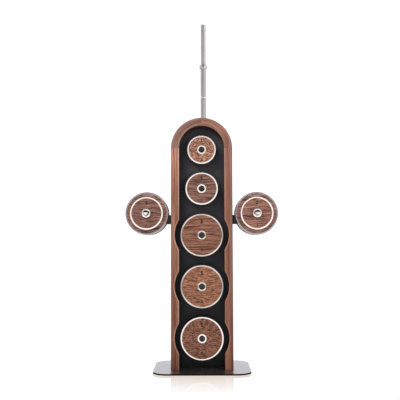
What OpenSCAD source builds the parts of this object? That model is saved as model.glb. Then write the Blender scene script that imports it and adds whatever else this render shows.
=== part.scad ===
// Weight-plate tower for a home gym. An arched wooden frame stands on a steel base
// and carries five pegs of wood-faced steel plates, a loaded dumbbell on a bracket
// at each side and one upright barbell behind.
// Millimetres, +Z up, front towards -Y, origin on the floor under the tower's centre.

/* [Frame] */
// Overall width of the arched frame
tower_w = 320; // [316:1:326]
// Depth of the frame, front to back
tower_d = 170; // [164:1:180]
// Width of a post, seen from the front
post_w = 42.5; // [41:0.5:44]
// Height of the arch centre above the floor, where the posts end
arch_z = 1149; // [1142:1:1160]
// Radius that softens the long edges of the wood
edge_r = 7; // [4:1:8]
// Thickness of the back panel
panel_t = 12; // [10:1:14]
// Radius of the finger scallops beside the large plates
scallop_r = 140; // [137:1:141]

/* [Base] */
// Width of the base plate
base_w = 496; // [480:1:520]
// Depth of the base plate
base_d = 390; // [375:1:400]
// Thickness of the base plate
base_t = 8; // [8:1:10]
// Corner radius of the base plate, seen from above
base_corner_r = 75; // [60:1:80]

/* [Weight plates] */
// Diameter of a large plate
large_d = 222; // [216:1:226]
// Diameter of a medium plate
medium_d = 170; // [160:1:180]
// Diameter of a small plate
small_d = 150; // [140:1:158]
// Thickness of every plate
plate_t = 25; // [22:0.5:26]
// Diameter of the hole in every plate
plate_bore_d = 30; // [28:0.5:31]
// Width of the steel rim around the wood
rim_w = 8; // [7:0.5:12]
// Diameter of the steel hub ring
hub_d = 46; // [42:1:50]

/* [Pegs] */
// Diameter of a plate peg
peg_d = 25; // [24:0.5:26]
// Height of the lowest peg above the floor
low_peg_z = 168; // [165:1:175]
// Distance between neighbouring pegs for large plates
large_pitch = 265; // [262:0.5:266]
// Distance from the upper large peg to the medium peg
medium_pitch = 242; // [238:1:246]

/* [Dumbbells] */
// Distance of a dumbbell's axis from the tower's centre
dumbbell_x = 285; // [283:1:295]
// Height of a dumbbell's axis above the floor
dumbbell_z = 808; // [802:1:814]
// Overall length of a dumbbell bar
dumbbell_len = 350; // [340:1:360]
// Length of the grip between the two flanges
grip_len = 92; // [90:1:100]
// Diameter of the gripped middle of each dumbbell bar
shaft_d = 28; // [27:0.5:28]
// Diameter of each dumbbell bar's threaded ends, which take the plates
sleeve_d = 25; // [24.5:0.5:25.5]

/* [Barbell] */
// Overall length of the barbell
barbell_len = 1855; // [1800:1:1880]
// Diameter of the barbell's gripped shaft
bar_shaft_d = 32; // [31:0.5:32]
// Diameter of the barbell's sleeves, which take the plates
bar_sleeve_d = 29; // [28:0.5:29]
// Sideways offset of the barbell from the tower's centre
barbell_x = 11; // [10:0.5:14]

/* [Hidden] */
$fn = 96;
fit_gap = 0.05;          // clearance around every fixed piece that sits in a hole
run_gap = 0.3;           // clearance around a bar in its rubber liner
plate_gap = 0.25;        // air between neighbouring plates
foot_proud = 2;          // how far the rubber feet lift the base plate
foot_seat = 1;           // depth of a foot's pocket in the plate
foot_r = 20;
foot_inset = [48, 45];   // from the plate's side and front edges to a foot's centre
base_top = foot_proud + base_t;

outer_r = tower_w / 2;
inner_r = outer_r - post_w;
rail_mid = (outer_r + inner_r) / 2;
half_d = tower_d / 2;
groove_r = outer_r - 14.5;   // the panel groove runs deeper than the scallops

// Joinery
dowel_r = 5;
dowel_len = 60;
dowel_y = 50;
base_bolt_r = 5;
base_bolt_len = 68;
base_bolt_head = 4;      // height of the countersunk head
base_bolt_head_r = 9;
bolt_socket_r = 3.4;
bolt_socket_depth = 2.5;

// Pegs and their fixings behind the panel
peg_r = peg_d / 2;
peg_shoulder_t = 25;
peg_shoulder_r = 28;
peg_end = 82;            // how far a peg reaches in front of the panel
stud_r = 5;
washer_t = 2.5;
washer_r = 18;
nut_t = 8;
nut_r = 9.8;

// Weight plates
bore_r = plate_bore_d / 2;
hub_r = hub_d / 2;
recess_t = 5.5;          // depth of the pocket that takes a wood ring
inlay_t = 5;             // the wood sits a little below the steel rim
plate_drop = bore_r - peg_r - fit_gap;   // a plate hangs on the top of its peg
inner_y = peg_shoulder_t + plate_gap;
outer_y = inner_y + plate_t + plate_gap;

large_peg_z = [for (i = [0:2]) low_peg_z + i * large_pitch];
medium_peg_z = large_peg_z[2] + medium_pitch;
small_peg_z = arch_z - 5;    // the top peg sits a little below the arch's centre
peg_heights = concat(large_peg_z, [medium_peg_z, small_peg_z]);

// Dumbbell brackets
shaft_r = shaft_d / 2;
sleeve_r = sleeve_d / 2;
liner_t = 2;
slot_r = shaft_r + run_gap + liner_t;
arm_h = 46;
arm_z = dumbbell_z - 53;
cheek_t = 6;
cheek_y = 37;            // middle of each cheek, front and back
flange_t = 5;
flange_d = 100;
horn_h = 22;             // how far the cradle stands above the bar's axis
head_r = 34;
bracket_screw_r = 3;
bracket_screw_len = 28;

// Dumbbell pieces along their bar
stop_t = 6;
stop_r = 21;
disc_gap = 0.1;
big_disc_y = grip_len / 2 + stop_t + disc_gap;
small_disc_y = big_disc_y + plate_t + disc_gap;
rubber_y = small_disc_y + plate_t + disc_gap;
rubber_t = 3;
rubber_r = 20;
nut_y = rubber_y + rubber_t + disc_gap;
spin_nut_t = 18;
spin_nut_r = 24;

// Barbell
barbell_y = half_d + 30;
pad_t = 3;
cup_floor_t = 2;
barbell_z = base_top + cup_floor_t + pad_t;
cap_len = 30;
bar_shaft_r = bar_shaft_d / 2;
bar_sleeve_r = bar_sleeve_d / 2;
cap_r = bar_sleeve_r - 0.1;
spigot_r = 6;
spigot_len = 20;
sleeve_len = 197;
collar_t = 27;
collar_r = 22.5;
collar_cone = 8;         // length of the cone that leads up to the collar's flange
collar_cone_r = 17.5;
collar_neck = 7;         // length of the narrow neck behind the flange
collar_neck_r = 17;
collar_seat_r = bar_sleeve_r + 0.5;   // the collar is pressed on a slightly larger step
mark_gap = 155;          // from a collar to the turned ring on the shaft
mark_w = 6;
mark_depth = 0.8;

// Barbell holder
cup_r = 23;
cup_bore_r = 15;
cup_h = 75;
cup_flange_r = 43;
cup_flange_t = 6;
cup_screw_ring = 33;
cup_screw_r = 3;
guide_z = arch_z + inner_r + edge_r;
guide_h = 17;
guide_t = 4;
guide_half_w = 45;
guide_screw_x = 36;
guide_screw_r = 2.5;
guide_screw_len = 26;
tongue_t = 5;
tongue_half_w = 24;
tongue_reach = 10;       // past the barbell's axis
guide_slot_r = bar_shaft_r + run_gap + liner_t;

WALNUT = [0.50, 0.34, 0.27];
INLAY = [0.58, 0.40, 0.31];
STEEL = [0.78, 0.77, 0.76];
BLACK = [0.10, 0.10, 0.11];
RUBBER = [0.06, 0.06, 0.06];
ZINC = [0.62, 0.63, 0.65];

// ---------------------------------------------------------------- shared shapes

// Rectangle with round corners, from squares and circles so that its arcs stay true
module round_rect(x0, x1, y0, y1, r) {
    translate([x0 + r, y0]) square([x1 - x0 - 2 * r, y1 - y0]);
    translate([x0, y0 + r]) square([x1 - x0, y1 - y0 - 2 * r]);
    for (x = [x0 + r, x1 - r], y = [y0 + r, y1 - r]) translate([x, y]) circle(r);
}

// Turns a shape built along +Z so that it points to the front, -Y
module to_front() {
    rotate([90, 0, 0]) children();
}

// A copy at each end of a dumbbell: as built towards the front, and mirrored to the back
module both_ends() {
    for (flip = [0, 1]) mirror([0, flip, 0]) children();
}

module left_copy() {
    mirror([1, 0, 0]) children();
}

module at_dumbbell(side) {
    translate([side * dumbbell_x, 0, dumbbell_z]) children();
}

// Flat ring along +Z
module ring(r_out, r_in, h) {
    difference() {
        cylinder(h = h, r = r_out);
        translate([0, 0, -1]) cylinder(h = h + 2, r = r_in);
    }
}

// Button-head screw: shank along -Z below the origin, head above it
module button_screw(r, len, head_h) {
    difference() {
        union() {
            translate([0, 0, -len]) cylinder(h = len + head_h / 2, r = r);
            cylinder(h = head_h, r1 = 1.9 * r, r2 = 1.3 * r);
        }
        translate([0, 0, head_h * 0.4]) cylinder(h = head_h, r = 0.7 * r, $fn = 6);
    }
}

// ---------------------------------------------------------------- wooden frame

// Cross-section that the posts and the arch share: x runs outwards, y to the back
module rail_section() {
    difference() {
        round_rect(inner_r, outer_r, -half_d, half_d, edge_r);
        translate([inner_r - 1, -fit_gap])
            square([groove_r - inner_r + 1, panel_t + 2 * fit_gap]);
    }
}

// Cutter for one finger scallop, round about the peg's axis and rounded over at the front
module scallop_cutter() {
    lip = scallop_r + edge_r;
    to_front() rotate_extrude() {
        square([scallop_r, half_d + 1]);
        translate([0, half_d]) square([lip, 1]);
        difference() {
            translate([scallop_r - 1, half_d - edge_r]) square([edge_r + 1, edge_r + 0.5]);
            translate([lip, half_d - edge_r]) circle(edge_r);
        }
    }
}

module dowel_holes_z(z) {
    for (y = [-dowel_y, dowel_y])
        translate([rail_mid, y, z - dowel_len / 2 - 1])
            cylinder(h = dowel_len + 2, r = dowel_r + fit_gap);
}

module dowel_holes_crown() {
    for (y = [-dowel_y, dowel_y])
        translate([-dowel_len / 2 - 1, y, arch_z + rail_mid]) rotate([0, 90, 0])
            cylinder(h = dowel_len + 2, r = dowel_r + fit_gap);
}

module post() {
    difference() {
        translate([0, 0, base_top]) linear_extrude(arch_z - base_top) rail_section();
        for (z = large_peg_z) translate([0, 0, z]) scallop_cutter();
        dowel_holes_z(arch_z);
        for (y = [-dowel_y, dowel_y])
            translate([rail_mid, y, 0])
                cylinder(h = foot_proud + base_bolt_len + 1, r = base_bolt_r + fit_gap);
        bracket_screw_spots()
            translate([0, 0, -bracket_screw_len - 1])
                cylinder(h = bracket_screw_len + 2, r = bracket_screw_r + fit_gap);
    }
}

// Quarter of the arch on the +X side; the mirror turns the section's y to the back
module quarter_arch() {
    difference() {
        translate([0, 0, arch_z]) mirror([0, 1, 0]) to_front()
            rotate_extrude(angle = 90) rail_section();
        dowel_holes_z(arch_z);
        dowel_holes_crown();
    }
}

module guide_screw_holes() {
    guide_screw_spots()
        translate([0, 0, -guide_screw_len - 1])
            cylinder(h = guide_screw_len + 2, r = guide_screw_r + fit_gap);
}

module right_post() {
    color(WALNUT) post();
}

module left_post() {
    color(WALNUT) left_copy() post();
}

module right_arch() {
    color(WALNUT) difference() {
        quarter_arch();
        guide_screw_holes();
    }
}

module left_arch() {
    color(WALNUT) difference() {
        left_copy() quarter_arch();
        guide_screw_holes();
    }
}

module frame_dowels() {
    color(INLAY) {
        for (x = [-rail_mid, rail_mid], y = [-dowel_y, dowel_y])
            translate([x, y, arch_z - dowel_len / 2]) cylinder(h = dowel_len, r = dowel_r);
        for (y = [-dowel_y, dowel_y])
            translate([-dowel_len / 2, y, arch_z + rail_mid]) rotate([0, 90, 0])
                cylinder(h = dowel_len, r = dowel_r);
    }
}

// Arched panel that sits in the groove of the posts and the arch; its front is y = 0
module back_panel() {
    half_w = groove_r - 0.25;
    color(BLACK) difference() {
        translate([0, panel_t, 0]) to_front() linear_extrude(panel_t) {
            translate([-half_w, base_top]) square([2 * half_w, arch_z - base_top]);
            translate([0, arch_z]) circle(half_w);
        }
        for (z = peg_heights)
            translate([0, panel_t + 1, z]) to_front()
                cylinder(h = panel_t + 2, r = stud_r + fit_gap);
    }
}

// ---------------------------------------------------------------- base

module base_bolt_spots() {
    for (x = [-rail_mid, rail_mid], y = [-dowel_y, dowel_y])
        translate([x, y, foot_proud]) children();
}

module foot_spots() {
    for (x = [-1, 1], y = [-1, 1])
        translate([x * (base_w / 2 - foot_inset[0]), y * (base_d / 2 - foot_inset[1]), 0])
            children();
}

module base_plate() {
    color(BLACK) difference() {
        translate([0, 0, foot_proud]) linear_extrude(base_t)
            round_rect(-base_w / 2, base_w / 2, -base_d / 2, base_d / 2, base_corner_r);
        foot_spots() cylinder(h = foot_proud + foot_seat, r = foot_r + fit_gap);
        base_bolt_spots() {
            translate([0, 0, -1]) cylinder(h = base_t + 2, r = base_bolt_r + fit_gap);
            translate([0, 0, -fit_gap])
                cylinder(h = base_bolt_head + fit_gap, r1 = base_bolt_head_r + 2 * fit_gap,
                    r2 = base_bolt_r + fit_gap);
        }
        cup_screw_spots()
            translate([0, 0, -cup_flange_t - base_t - 1])
                cylinder(h = base_t + 2, r = cup_screw_r + fit_gap);
    }
}

module base_feet() {
    color(RUBBER) foot_spots() cylinder(h = foot_proud + foot_seat, r = foot_r);
}

module base_bolts() {
    color(ZINC) base_bolt_spots() difference() {
        union() {
            cylinder(h = base_bolt_len, r = base_bolt_r);
            cylinder(h = base_bolt_head, r1 = base_bolt_head_r, r2 = base_bolt_r);
        }
        translate([0, 0, -1]) cylinder(h = bolt_socket_depth + 1, r = bolt_socket_r, $fn = 6);
    }
}

// ---------------------------------------------------------------- plate pegs

module at_pegs() {
    for (z = peg_heights) translate([0, 0, z]) children();
}

// Turned peg: threaded stud behind, broad shoulder against the panel, long round pin
module plate_pegs() {
    stud_end = panel_t + washer_t + nut_t + 3;
    color(BLACK) at_pegs() to_front() rotate_extrude() polygon([
        [0, -stud_end], [stud_r - 1, -stud_end], [stud_r, 1 - stud_end], [stud_r, 0],
        [peg_shoulder_r, 0], [peg_shoulder_r, peg_shoulder_t - 2],
        [peg_shoulder_r - 2, peg_shoulder_t], [peg_r, peg_shoulder_t],
        [peg_r, peg_end - 2.5], [peg_r - 2.5, peg_end], [0, peg_end]
    ]);
}

module peg_washers() {
    color(ZINC) at_pegs()
        translate([0, panel_t + washer_t, 0]) to_front()
            ring(washer_r, stud_r + fit_gap, washer_t);
}

module peg_nuts() {
    color(ZINC) at_pegs()
        translate([0, panel_t + washer_t + nut_t, 0]) to_front() difference() {
            cylinder(h = nut_t, r = nut_r, $fn = 6);
            translate([0, 0, -1]) cylinder(h = nut_t + 2, r = stud_r + fit_gap);
        }
}

// ---------------------------------------------------------------- weight plates

// Steel disc along +Z: rim, hub and a pocket for wood in both faces
module steel_plate(d) {
    r = d / 2;
    rim = r - rim_w;
    soft = 1.5;
    bevel = 0.8;
    rotate_extrude() polygon([
        [bore_r, bevel], [bore_r + bevel, 0], [hub_r, 0], [hub_r, recess_t],
        [rim, recess_t], [rim, 0], [r - soft, 0], [r, soft],
        [r, plate_t - soft], [r - soft, plate_t], [rim, plate_t], [rim, plate_t - recess_t],
        [hub_r, plate_t - recess_t], [hub_r, plate_t], [bore_r + bevel, plate_t],
        [bore_r, plate_t - bevel]
    ]);
}

// The two wood rings that fill a plate's pockets
module wood_rings(d) {
    rim = d / 2 - rim_w;
    for (z = [recess_t - inlay_t, plate_t - recess_t])
        translate([0, 0, z]) ring(rim - fit_gap, hub_r + fit_gap, inlay_t);
}

// Places a plate on the peg at height z, with its back face y in front of the panel
module on_peg(z, y) {
    translate([0, -y, z - plate_drop]) to_front() children();
}

module small_plate_inner() { color(STEEL) on_peg(small_peg_z, inner_y) steel_plate(small_d); }
module small_inlays_inner() { color(INLAY) on_peg(small_peg_z, inner_y) wood_rings(small_d); }
module small_plate_outer() { color(STEEL) on_peg(small_peg_z, outer_y) steel_plate(small_d); }
module small_inlays_outer() { color(INLAY) on_peg(small_peg_z, outer_y) wood_rings(small_d); }

module medium_plate_inner() {
    color(STEEL) on_peg(medium_peg_z, inner_y) steel_plate(medium_d);
}
module medium_inlays_inner() {
    color(INLAY) on_peg(medium_peg_z, inner_y) wood_rings(medium_d);
}
module medium_plate_outer() {
    color(STEEL) on_peg(medium_peg_z, outer_y) steel_plate(medium_d);
}
module medium_inlays_outer() {
    color(INLAY) on_peg(medium_peg_z, outer_y) wood_rings(medium_d);
}

module upper_large_plate_inner() {
    color(STEEL) on_peg(large_peg_z[2], inner_y) steel_plate(large_d);
}
module upper_large_inlays_inner() {
    color(INLAY) on_peg(large_peg_z[2], inner_y) wood_rings(large_d);
}
module upper_large_plate_outer() {
    color(STEEL) on_peg(large_peg_z[2], outer_y) steel_plate(large_d);
}
module upper_large_inlays_outer() {
    color(INLAY) on_peg(large_peg_z[2], outer_y) wood_rings(large_d);
}

module middle_large_plate_inner() {
    color(STEEL) on_peg(large_peg_z[1], inner_y) steel_plate(large_d);
}
module middle_large_inlays_inner() {
    color(INLAY) on_peg(large_peg_z[1], inner_y) wood_rings(large_d);
}
module middle_large_plate_outer() {
    color(STEEL) on_peg(large_peg_z[1], outer_y) steel_plate(large_d);
}
module middle_large_inlays_outer() {
    color(INLAY) on_peg(large_peg_z[1], outer_y) wood_rings(large_d);
}

module lower_large_plate_inner() {
    color(STEEL) on_peg(large_peg_z[0], inner_y) steel_plate(large_d);
}
module lower_large_inlays_inner() {
    color(INLAY) on_peg(large_peg_z[0], inner_y) wood_rings(large_d);
}
module lower_large_plate_outer() {
    color(STEEL) on_peg(large_peg_z[0], outer_y) steel_plate(large_d);
}
module lower_large_inlays_outer() {
    color(INLAY) on_peg(large_peg_z[0], outer_y) wood_rings(large_d);
}

// ---------------------------------------------------------------- dumbbell brackets

// Four screw positions in the flange on the +X side, each with +Z pointing outwards
module bracket_screw_spots() {
    for (y = [-20, 20], z = [11, 35])
        translate([outer_r, y, arm_z + z]) rotate([0, 90, 0]) children();
}

// Side view of a cheek: level arm, round head and a slot that opens upwards
module cheek_outline() {
    top = dumbbell_z + horn_h;
    difference() {
        union() {
            translate([outer_r, arm_z]) square([dumbbell_x + 8 - outer_r, arm_h]);
            translate([dumbbell_x + 8, arm_z + arm_h / 2]) circle(arm_h / 2);
            translate([dumbbell_x, dumbbell_z]) circle(head_r);
        }
        translate([dumbbell_x, dumbbell_z]) circle(slot_r);
        translate([dumbbell_x - slot_r, dumbbell_z]) square([2 * slot_r, head_r + 1]);
        translate([dumbbell_x - head_r - 1, top]) square([2 * head_r + 2, head_r]);
    }
}

module bracket() {
    difference() {
        union() {
            translate([outer_r, -flange_d / 2, arm_z]) cube([flange_t, flange_d, arm_h]);
            for (y = [-cheek_y, cheek_y])
                translate([0, y + cheek_t / 2, 0]) to_front()
                    linear_extrude(cheek_t) cheek_outline();
        }
        bracket_screw_spots()
            translate([0, 0, -1])
                cylinder(h = flange_t + 2, r = bracket_screw_r + fit_gap);
    }
}

module right_bracket() {
    color(BLACK) bracket();
}

module left_bracket() {
    color(BLACK) left_copy() bracket();
}

// Rubber U that lines a slot of inner radius r_in: a half ring with two straight legs
module liner_outline(r_in, leg) {
    r_out = r_in + liner_t - fit_gap;
    difference() {
        union() {
            circle(r_out);
            translate([-r_out, 0]) square([2 * r_out, leg]);
        }
        circle(r_in);
        translate([-r_in, 0]) square([2 * r_in, r_out + leg]);
        translate([-r_out, leg]) square([2 * r_out, r_out]);
    }
}

module bracket_liners() {
    color(RUBBER)
        for (side = [-1, 1], y = [-cheek_y, cheek_y])
            at_dumbbell(side) translate([0, y + cheek_t / 2, 0]) to_front()
                linear_extrude(cheek_t) liner_outline(shaft_r + run_gap, horn_h);
}

module bracket_screws() {
    head_h = 3.5;
    color(ZINC)
        for (flip = [0, 1])
            mirror([flip, 0, 0]) bracket_screw_spots()
                translate([0, 0, flange_t])
                    button_screw(bracket_screw_r, bracket_screw_len, head_h);
}

// ---------------------------------------------------------------- barbell holder

// Three screw positions on top of the socket's flange
module cup_screw_spots() {
    for (a = [90, 210, 330])
        translate([barbell_x, barbell_y, base_top + cup_flange_t])
            rotate([0, 0, a]) translate([cup_screw_ring, 0, 0]) children();
}

module bar_socket() {
    color(BLACK) difference() {
        translate([barbell_x, barbell_y, base_top]) rotate_extrude() polygon([
            [0, 0], [cup_flange_r, 0], [cup_flange_r, cup_flange_t - 1.5],
            [cup_flange_r - 1.5, cup_flange_t], [cup_r, cup_flange_t],
            [cup_r, cup_h - 1.5], [cup_r - 1.5, cup_h], [cup_bore_r + 2, cup_h],
            [cup_bore_r, cup_h - 2], [cup_bore_r, cup_floor_t], [0, cup_floor_t]
        ]);
        cup_screw_spots()
            translate([0, 0, -cup_flange_t - 1])
                cylinder(h = cup_flange_t + 2, r = cup_screw_r + fit_gap);
    }
}

// Two screw positions on the guide's back plate, each with +Z pointing to the back
module guide_screw_spots() {
    for (x = [-guide_screw_x, guide_screw_x])
        translate([barbell_x + x, half_d, guide_z + guide_h / 2])
            rotate([-90, 0, 0]) children();
}

// Plate screwed across the arch's seam, with a tongue whose slot opens to the back
module bar_guide() {
    tongue_z = guide_z + guide_h / 2 - tongue_t / 2;
    slot_y = barbell_y - half_d;
    color(BLACK) difference() {
        union() {
            translate([barbell_x - guide_half_w, half_d, guide_z])
                cube([2 * guide_half_w, guide_t, guide_h]);
            translate([barbell_x - tongue_half_w, half_d, tongue_z])
                cube([2 * tongue_half_w, slot_y + tongue_reach, tongue_t]);
        }
        translate([barbell_x, barbell_y, tongue_z - 1]) {
            cylinder(h = tongue_t + 2, r = guide_slot_r);
            translate([-guide_slot_r, 0, 0])
                cube([2 * guide_slot_r, tongue_reach + 1, tongue_t + 2]);
        }
        guide_screw_spots()
            translate([0, 0, -1]) cylinder(h = guide_t + 2, r = guide_screw_r + fit_gap);
    }
}

module bar_rest_rubbers() {
    liner_h = 9;
    color(RUBBER) {
        translate([barbell_x, barbell_y, base_top + cup_floor_t])
            cylinder(h = pad_t, r = cup_bore_r - fit_gap);
        translate([barbell_x, barbell_y, guide_z + guide_h / 2 - liner_h / 2])
            linear_extrude(liner_h) liner_outline(bar_shaft_r + run_gap, tongue_reach);
    }
}

module bar_holder_screws() {
    cup_head_h = 3.5;
    guide_head_h = 3;
    color(ZINC) {
        cup_screw_spots()
            button_screw(cup_screw_r, cup_flange_t + base_t - 1, cup_head_h);
        guide_screw_spots() translate([0, 0, guide_t])
            button_screw(guide_screw_r, guide_screw_len, guide_head_h);
    }
}

// ---------------------------------------------------------------- barbell

// Both ends of the barbell: as built at the bottom, and turned over at the top
module barbell_ends() {
    translate([barbell_x, barbell_y, barbell_z]) {
        children();
        translate([0, 0, barbell_len]) mirror([0, 0, 1]) children();
    }
}

// Half of the barbell's outline, from its end to its middle
function half_bar_outline() = let (
    step = cap_len + sleeve_len + collar_t,
    mark = step + mark_gap
) [
    [0, cap_len + spigot_len], [spigot_r, cap_len + spigot_len], [spigot_r, cap_len],
    [bar_sleeve_r - 1, cap_len], [bar_sleeve_r, cap_len + 1],
    [bar_sleeve_r, step - collar_t],
    [collar_seat_r, step - collar_t], [collar_seat_r, step],
    [bar_shaft_r, step], [bar_shaft_r, mark],
    [bar_shaft_r - mark_depth, mark + mark_depth],
    [bar_shaft_r - mark_depth, mark + mark_w - mark_depth], [bar_shaft_r, mark + mark_w],
    [bar_shaft_r, barbell_len / 2], [0, barbell_len / 2]
];

module barbell_bar() {
    color(STEEL) barbell_ends() rotate_extrude() polygon(half_bar_outline());
}

module barbell_collars() {
    color(STEEL) barbell_ends()
        translate([0, 0, cap_len + sleeve_len]) rotate_extrude() polygon([
            [collar_seat_r + fit_gap, 0], [collar_cone_r, 0], [collar_r, collar_cone],
            [collar_r, collar_t - collar_neck - 1], [collar_r - 1, collar_t - collar_neck],
            [collar_neck_r, collar_t - collar_neck], [collar_neck_r, collar_t],
            [collar_seat_r + fit_gap, collar_t]
        ]);
}

module barbell_end_caps() {
    color(STEEL) barbell_ends() rotate_extrude() polygon([
        [0, 0], [cap_r - 1.5, 0], [cap_r, 1.5], [cap_r, cap_len - 1.5],
        [cap_r - 1.2, cap_len], [spigot_r - fit_gap, cap_len],
        [spigot_r - fit_gap, cap_len + spigot_len - 1], [0, cap_len + spigot_len - 1]
    ]);
}

// ---------------------------------------------------------------- dumbbells

// Half of a dumbbell bar's outline, from its middle to its end
function half_dumbbell_outline() = let (
    grip = grip_len / 2,
    tip = dumbbell_len / 2
) [
    [0, 0], [shaft_r, 0], [shaft_r, grip], [stop_r - 1, grip], [stop_r, grip + 1],
    [stop_r, grip + stop_t], [sleeve_r, grip + stop_t], [sleeve_r, tip - 2],
    [sleeve_r - 2, tip], [0, tip]
];

module dumbbell_bar(side) {
    color(STEEL) at_dumbbell(side) both_ends() to_front()
        rotate_extrude() polygon(half_dumbbell_outline());
}

module dumbbell_plates(side, d, y) {
    color(STEEL) at_dumbbell(side) both_ends()
        translate([0, -y, 0]) to_front() steel_plate(d);
}

module dumbbell_inlays(side) {
    color(INLAY) at_dumbbell(side) both_ends() {
        translate([0, -big_disc_y, 0]) to_front() wood_rings(large_d);
        translate([0, -small_disc_y, 0]) to_front() wood_rings(medium_d);
    }
}

// end is 0 at the front and 1 at the back
module dumbbell_rubber(side, end) {
    color(RUBBER) at_dumbbell(side) mirror([0, end, 0])
        translate([0, -rubber_y, 0]) to_front()
            ring(rubber_r, sleeve_r + fit_gap, rubber_t);
}

module dumbbell_nut(side, end) {
    color(STEEL) at_dumbbell(side) mirror([0, end, 0])
        translate([0, -nut_y, 0]) to_front() rotate_extrude() polygon([
            [sleeve_r + fit_gap, 0], [spin_nut_r - 1, 0], [spin_nut_r, 1],
            [spin_nut_r, spin_nut_t - 3], [spin_nut_r - 3, spin_nut_t],
            [sleeve_r + fit_gap + 1, spin_nut_t], [sleeve_r + fit_gap, spin_nut_t - 1]
        ]);
}

module left_dumbbell_bar() { dumbbell_bar(-1); }
module left_dumbbell_large_plates() { dumbbell_plates(-1, large_d, big_disc_y); }
module left_dumbbell_small_plates() { dumbbell_plates(-1, medium_d, small_disc_y); }
module left_dumbbell_inlays() { dumbbell_inlays(-1); }
module left_dumbbell_front_rubber() { dumbbell_rubber(-1, 0); }
module left_dumbbell_rear_rubber() { dumbbell_rubber(-1, 1); }
module left_dumbbell_front_nut() { dumbbell_nut(-1, 0); }
module left_dumbbell_rear_nut() { dumbbell_nut(-1, 1); }

module right_dumbbell_bar() { dumbbell_bar(1); }
module right_dumbbell_large_plates() { dumbbell_plates(1, large_d, big_disc_y); }
module right_dumbbell_small_plates() { dumbbell_plates(1, medium_d, small_disc_y); }
module right_dumbbell_inlays() { dumbbell_inlays(1); }
module right_dumbbell_front_rubber() { dumbbell_rubber(1, 0); }
module right_dumbbell_rear_rubber() { dumbbell_rubber(1, 1); }
module right_dumbbell_front_nut() { dumbbell_nut(1, 0); }
module right_dumbbell_rear_nut() { dumbbell_nut(1, 1); }

base_plate();
base_feet();
base_bolts();
left_post();
right_post();
left_arch();
right_arch();
frame_dowels();
back_panel();
plate_pegs();
peg_washers();
peg_nuts();
left_bracket();
right_bracket();
bracket_liners();
bracket_screws();
bar_socket();
bar_guide();
bar_rest_rubbers();
bar_holder_screws();
small_plate_inner();
small_inlays_inner();
small_plate_outer();
small_inlays_outer();
medium_plate_inner();
medium_inlays_inner();
medium_plate_outer();
medium_inlays_outer();
upper_large_plate_inner();
upper_large_inlays_inner();
upper_large_plate_outer();
upper_large_inlays_outer();
middle_large_plate_inner();
middle_large_inlays_inner();
middle_large_plate_outer();
middle_large_inlays_outer();
lower_large_plate_inner();
lower_large_inlays_inner();
lower_large_plate_outer();
lower_large_inlays_outer();
barbell_bar();
barbell_collars();
barbell_end_caps();
left_dumbbell_bar();
left_dumbbell_large_plates();
left_dumbbell_small_plates();
left_dumbbell_inlays();
left_dumbbell_front_rubber();
left_dumbbell_rear_rubber();
left_dumbbell_front_nut();
left_dumbbell_rear_nut();
right_dumbbell_bar();
right_dumbbell_large_plates();
right_dumbbell_small_plates();
right_dumbbell_inlays();
right_dumbbell_front_rubber();
right_dumbbell_rear_rubber();
right_dumbbell_front_nut();
right_dumbbell_rear_nut();
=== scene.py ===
"""Looks of the weight-plate tower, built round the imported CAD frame.

Every turned part is a profile spun about its axis, every flat part a bevelled slab, and the
wooden frame a swept section. Sizes and places are read from the CAD nodes' boxes.
"""

import math

import bmesh
import bpy
from mathutils import Matrix, Quaternion, Vector


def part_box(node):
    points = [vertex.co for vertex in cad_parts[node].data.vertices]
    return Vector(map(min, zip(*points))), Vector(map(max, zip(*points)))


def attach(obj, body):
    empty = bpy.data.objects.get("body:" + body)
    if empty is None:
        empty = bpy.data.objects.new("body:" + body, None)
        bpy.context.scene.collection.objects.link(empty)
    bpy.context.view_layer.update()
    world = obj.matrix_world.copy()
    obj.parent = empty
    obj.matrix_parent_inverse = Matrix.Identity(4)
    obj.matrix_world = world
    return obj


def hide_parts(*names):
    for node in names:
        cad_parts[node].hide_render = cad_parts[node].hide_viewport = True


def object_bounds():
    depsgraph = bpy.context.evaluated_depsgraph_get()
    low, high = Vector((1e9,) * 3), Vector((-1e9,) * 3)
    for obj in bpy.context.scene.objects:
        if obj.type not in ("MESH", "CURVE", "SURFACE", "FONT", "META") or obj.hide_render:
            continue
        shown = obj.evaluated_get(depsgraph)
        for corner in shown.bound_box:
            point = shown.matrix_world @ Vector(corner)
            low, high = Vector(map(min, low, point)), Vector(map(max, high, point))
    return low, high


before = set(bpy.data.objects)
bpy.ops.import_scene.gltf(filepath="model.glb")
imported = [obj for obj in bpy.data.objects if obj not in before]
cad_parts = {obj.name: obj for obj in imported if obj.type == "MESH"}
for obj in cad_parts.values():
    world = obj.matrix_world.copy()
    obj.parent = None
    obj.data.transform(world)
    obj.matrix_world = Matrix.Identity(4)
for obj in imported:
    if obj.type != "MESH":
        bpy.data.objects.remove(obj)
cad_lo, cad_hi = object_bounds()

MM = 0.001
TAU = 2 * math.pi

# Which way a part's own +Z axis points once it is in place
UP = Matrix.Identity(4)
DOWN = Matrix.Rotation(math.pi, 4, "X")
TO_FRONT = Matrix.Rotation(math.pi / 2, 4, "X")
TO_BACK = Matrix.Rotation(-math.pi / 2, 4, "X")
TO_RIGHT = Matrix.Rotation(math.pi / 2, 4, "Y")
TO_LEFT = Matrix.Rotation(-math.pi / 2, 4, "Y")

move = Matrix.Translation


# ------ mesh building


def arc(centre, radius, start_deg, end_deg, steps):
    """Points along an arc, ends included."""
    out = []
    for k in range(steps + 1):
        a = math.radians(start_deg + (end_deg - start_deg) * k / steps)
        out.append((centre[0] + radius * math.cos(a), centre[1] + radius * math.sin(a)))
    return out


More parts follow.
